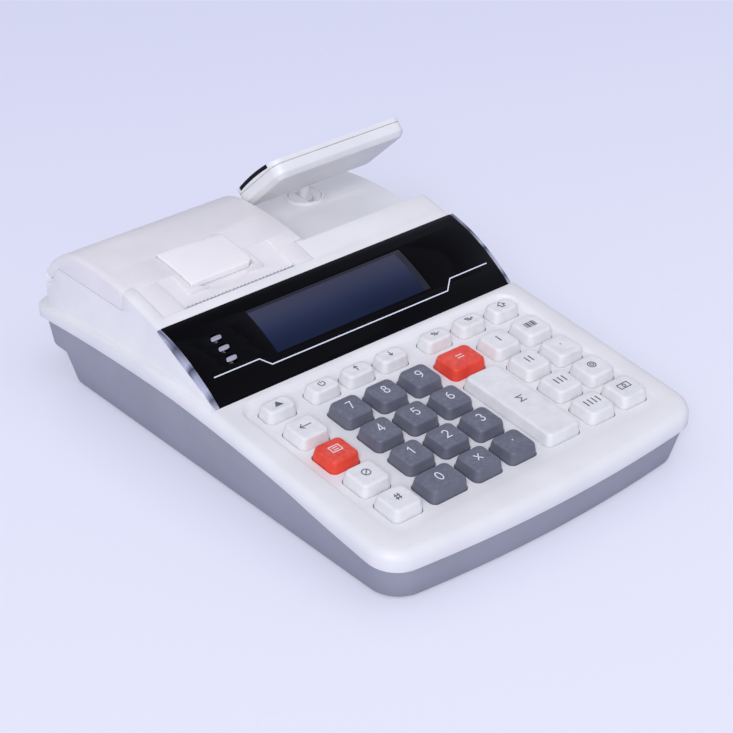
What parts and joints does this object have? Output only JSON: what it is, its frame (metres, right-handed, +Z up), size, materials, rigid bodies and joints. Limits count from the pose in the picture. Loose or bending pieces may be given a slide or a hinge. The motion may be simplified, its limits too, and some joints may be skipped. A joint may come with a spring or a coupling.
{
  "type": "ticket register",
  "caption": "Portable ticket register with a key deck, sloped operator display, receipt printer under a hinged cover and a customer display that tilts and swivels.",
  "frame": {"origin": "on the table under the middle of the case", "axes": "+X to the operator's right, +Y to the back, +Z up"},
  "size_m": [0.175, 0.2539, 0.0926],
  "materials": {
    "grey_case": "fine-textured moulded plastic",
    "white_shell": "satin moulded plastic",
    "cover_white": "satin moulded plastic",
    "black_gloss": "high gloss",
    "lcd_glass": "glossy dark window",
    "indicator": "diffuse light window",
    "chrome_trim": "polished",
    "circuit": "solder mask",
    "contact_rubber": "silicone rubber",
    "steel": "bright steel",
    "platen_rubber": "ground rubber",
    "black_plastic": "moulded plastic",
    "bay_plastic": "moulded plastic",
    "foot_rubber": "rubber",
    "key_dark": "satin moulded key",
    "key_red": "satin moulded key",
    "key_light": "satin moulded key"
  },
  "bodies": {
    "case": {"bottom_case": "grey_case", "top_shell": "white_shell", "display_panel": "black_gloss", "lcd_window": "lcd_glass", "indicator_lenses": "indicator", "trim_left": "chrome_trim", "trim_right": "chrome_trim", "lcd_module": "circuit", "key_mat": "contact_rubber", "key_board": "circuit", "main_board": "circuit", "cover_hinge_pin": "steel", "print_mechanism": "black_plastic", "paper_bay": "bay_plastic", "bay_frame": "bay_plastic", "tear_bar": "steel", "feet": "foot_rubber", "case_screws": "steel", "port_block": "black_plastic"},
    "cover": {"printer_cover": "cover_white"},
    "latch": {"cover_latch": "cover_white"},
    "platen": {"platen_roller": "platen_rubber"},
    "turret": {"pod_turret": "white_shell"},
    "pod": {"pod_stem": "white_shell", "pod_rear_shell": "white_shell", "pod_front_shell": "white_shell", "pod_window": "lcd_glass"},
    "key_function_1": {"key_function_1": "key_light"},
    "key_function_2": {"key_function_2": "key_light"},
    "key_function_3": {"key_function_3": "key_light"},
    "key_function_4": {"key_function_4": "key_light"},
    "key_function_5": {"key_function_5": "key_light"},
    "key_function_6": {"key_function_6": "key_light"},
    "key_function_7": {"key_function_7": "key_light"},
    "key_a1": {"key_a1": "key_light"},
    "key_b1": {"key_b1": "key_dark"},
    "key_c1": {"key_c1": "key_dark"},
    "key_d1": {"key_d1": "key_dark"},
    "key_f1": {"key_f1": "key_light"},
    "key_g1": {"key_g1": "key_light"},
    "key_a2": {"key_a2": "key_red"},
    "key_b2": {"key_b2": "key_dark"},
    "key_c2": {"key_c2": "key_dark"},
    "key_d2": {"key_d2": "key_dark"},
    "key_f2": {"key_f2": "key_light"},
    "key_g2": {"key_g2": "key_light"},
    "key_a3": {"key_a3": "key_light"},
    "key_b3": {"key_b3": "key_dark"},
    "key_c3": {"key_c3": "key_dark"},
    "key_d3": {"key_d3": "key_dark"},
    "key_f3": {"key_f3": "key_light"},
    "key_g3": {"key_g3": "key_light"},
    "key_a4": {"key_a4": "key_light"},
    "key_b4": {"key_b4": "key_dark"},
    "key_c4": {"key_c4": "key_dark"},
    "key_d4": {"key_d4": "key_dark"},
    "key_f4": {"key_f4": "key_light"},
    "key_g4": {"key_g4": "key_light"},
    "key_e1": {"key_e1": "key_red"},
    "key_e2": {"key_e2": "key_light"}
  },
  "joints": [
    {"name": "cover_open", "type": "hinge", "parent": "case", "child": "cover", "pos_m": [-0.0365, 0.11524, 0.0497], "axis": [-1, 0, 0], "range_deg": [0, 95]},
    {"name": "latch_lift", "type": "hinge", "parent": "cover", "child": "latch", "pos_m": [-0.03725, 0.071, 0.0656], "axis": [-1, 0, 0], "range_deg": [0, 12], "stiffness_Nm_per_rad": 0.06, "springref_deg": -14.32},
    {"name": "platen_spin", "type": "hinge", "parent": "cover", "child": "platen", "pos_m": [-0.0355, 0.042, 0.0513], "axis": [1, 0, 0], "continuous": true},
    {"name": "pod_swivel", "type": "hinge", "parent": "case", "child": "turret", "pos_m": [0.0478, 0.0952, 0.0522], "axis": [0, 0, -1], "range_deg": [0, 90]},
    {"name": "pod_tilt", "type": "hinge", "parent": "turret", "child": "pod", "pos_m": [0.0478, 0.0952, 0.0522], "axis": [-1, 0, 0], "range_deg": [-49.3, 15]},
    {"name": "press_key_function_1", "type": "slide", "parent": "case", "child": "key_function_1", "axis": [0, 0.0872, -0.9962], "range_m": [0, 0.003], "stiffness_N_per_m": 200, "springref_m": -0.001},
    {"name": "press_key_function_2", "type": "slide", "parent": "case", "child": "key_function_2", "axis": [0, 0.0872, -0.9962], "range_m": [0, 0.003], "stiffness_N_per_m": 200, "springref_m": -0.001},
    {"name": "press_key_function_3", "type": "slide", "parent": "case", "child": "key_function_3", "axis": [0, 0.0872, -0.9962], "range_m": [0, 0.003], "stiffness_N_per_m": 200, "springref_m": -0.001},
    {"name": "press_key_function_4", "type": "slide", "parent": "case", "child": "key_function_4", "axis": [0, 0.0872, -0.9962], "range_m": [0, 0.003], "stiffness_N_per_m": 200, "springref_m": -0.001},
    {"name": "press_key_function_5", "type": "slide", "parent": "case", "child": "key_function_5", "axis": [0, 0.0872, -0.9962], "range_m": [0, 0.003], "stiffness_N_per_m": 200, "springref_m": -0.001},
    {"name": "press_key_function_6", "type": "slide", "parent": "case", "child": "key_function_6", "axis": [0, 0.0872, -0.9962], "range_m": [0, 0.003], "stiffness_N_per_m": 200, "springref_m": -0.001},
    {"name": "press_key_function_7", "type": "slide", "parent": "case", "child": "key_function_7", "axis": [0, 0.0872, -0.9962], "range_m": [0, 0.003], "stiffness_N_per_m": 200, "springref_m": -0.001},
    {"name": "press_key_a1", "type": "slide", "parent": "case", "child": "key_a1", "axis": [0, 0.0872, -0.9962], "range_m": [0, 0.003], "stiffness_N_per_m": 200, "springref_m": -0.001},
    {"name": "press_key_b1", "type": "slide", "parent": "case", "child": "key_b1", "axis": [0, 0.0872, -0.9962], "range_m": [0, 0.003], "stiffness_N_per_m": 200, "springref_m": -0.001},
    {"name": "press_key_c1", "type": "slide", "parent": "case", "child": "key_c1", "axis": [0, 0.0872, -0.9962], "range_m": [0, 0.003], "stiffness_N_per_m": 200, "springref_m": -0.001},
    {"name": "press_key_d1", "type": "slide", "parent": "case", "child": "key_d1", "axis": [0, 0.0872, -0.9962], "range_m": [0, 0.003], "stiffness_N_per_m": 200, "springref_m": -0.001},
    {"name": "press_key_f1", "type": "slide", "parent": "case", "child": "key_f1", "axis": [0, 0.0872, -0.9962], "range_m": [0, 0.003], "stiffness_N_per_m": 200, "springref_m": -0.001},
    {"name": "press_key_g1", "type": "slide", "parent": "case", "child": "key_g1", "axis": [0, 0.0872, -0.9962], "range_m": [0, 0.003], "stiffness_N_per_m": 200, "springref_m": -0.001},
    {"name": "press_key_a2", "type": "slide", "parent": "case", "child": "key_a2", "axis": [0, 0.0872, -0.9962], "range_m": [0, 0.003], "stiffness_N_per_m": 200, "springref_m": -0.001},
    {"name": "press_key_b2", "type": "slide", "parent": "case", "child": "key_b2", "axis": [0, 0.0872, -0.9962], "range_m": [0, 0.003], "stiffness_N_per_m": 200, "springref_m": -0.001},
    {"name": "press_key_c2", "type": "slide", "parent": "case", "child": "key_c2", "axis": [0, 0.0872, -0.9962], "range_m": [0, 0.003], "stiffness_N_per_m": 200, "springref_m": -0.001},
    {"name": "press_key_d2", "type": "slide", "parent": "case", "child": "key_d2", "axis": [0, 0.0872, -0.9962], "range_m": [0, 0.003], "stiffness_N_per_m": 200, "springref_m": -0.001},
    {"name": "press_key_f2", "type": "slide", "parent": "case", "child": "key_f2", "axis": [0, 0.0872, -0.9962], "range_m": [0, 0.003], "stiffness_N_per_m": 200, "springref_m": -0.001},
    {"name": "press_key_g2", "type": "slide", "parent": "case", "child": "key_g2", "axis": [0, 0.0872, -0.9962], "range_m": [0, 0.003], "stiffness_N_per_m": 200, "springref_m": -0.001},
    {"name": "press_key_a3", "type": "slide", "parent": "case", "child": "key_a3", "axis": [0, 0.0872, -0.9962], "range_m": [0, 0.003], "stiffness_N_per_m": 200, "springref_m": -0.001},
    {"name": "press_key_b3", "type": "slide", "parent": "case", "child": "key_b3", "axis": [0, 0.0872, -0.9962], "range_m": [0, 0.003], "stiffness_N_per_m": 200, "springref_m": -0.001},
    {"name": "press_key_c3", "type": "slide", "parent": "case", "child": "key_c3", "axis": [0, 0.0872, -0.9962], "range_m": [0, 0.003], "stiffness_N_per_m": 200, "springref_m": -0.001},
    {"name": "press_key_d3", "type": "slide", "parent": "case", "child": "key_d3", "axis": [0, 0.0872, -0.9962], "range_m": [0, 0.003], "stiffness_N_per_m": 200, "springref_m": -0.001},
    {"name": "press_key_f3", "type": "slide", "parent": "case", "child": "key_f3", "axis": [0, 0.0872, -0.9962], "range_m": [0, 0.003], "stiffness_N_per_m": 200, "springref_m": -0.001},
    {"name": "press_key_g3", "type": "slide", "parent": "case", "child": "key_g3", "axis": [0, 0.0872, -0.9962], "range_m": [0, 0.003], "stiffness_N_per_m": 200, "springref_m": -0.001},
    {"name": "press_key_a4", "type": "slide", "parent": "case", "child": "key_a4", "axis": [0, 0.0872, -0.9962], "range_m": [0, 0.003], "stiffness_N_per_m": 200, "springref_m": -0.001},
    {"name": "press_key_b4", "type": "slide", "parent": "case", "child": "key_b4", "axis": [0, 0.0872, -0.9962], "range_m": [0, 0.003], "stiffness_N_per_m": 200, "springref_m": -0.001},
    {"name": "press_key_c4", "type": "slide", "parent": "case", "child": "key_c4", "axis": [0, 0.0872, -0.9962], "range_m": [0, 0.003], "stiffness_N_per_m": 200, "springref_m": -0.001},
    {"name": "press_key_d4", "type": "slide", "parent": "case", "child": "key_d4", "axis": [0, 0.0872, -0.9962], "range_m": [0, 0.003], "stiffness_N_per_m": 200, "springref_m": -0.001},
    {"name": "press_key_f4", "type": "slide", "parent": "case", "child": "key_f4", "axis": [0, 0.0872, -0.9962], "range_m": [0, 0.003], "stiffness_N_per_m": 200, "springref_m": -0.001},
    {"name": "press_key_g4", "type": "slide", "parent": "case", "child": "key_g4", "axis": [0, 0.0872, -0.9962], "range_m": [0, 0.003], "stiffness_N_per_m": 200, "springref_m": -0.001},
    {"name": "press_key_e1", "type": "slide", "parent": "case", "child": "key_e1", "axis": [0, 0.0872, -0.9962], "range_m": [0, 0.003], "stiffness_N_per_m": 200, "springref_m": -0.001},
    {"name": "press_key_e2", "type": "slide", "parent": "case", "child": "key_e2", "axis": [0, 0.0872, -0.9962], "range_m": [0, 0.003], "stiffness_N_per_m": 200, "springref_m": -0.001}
  ]
}
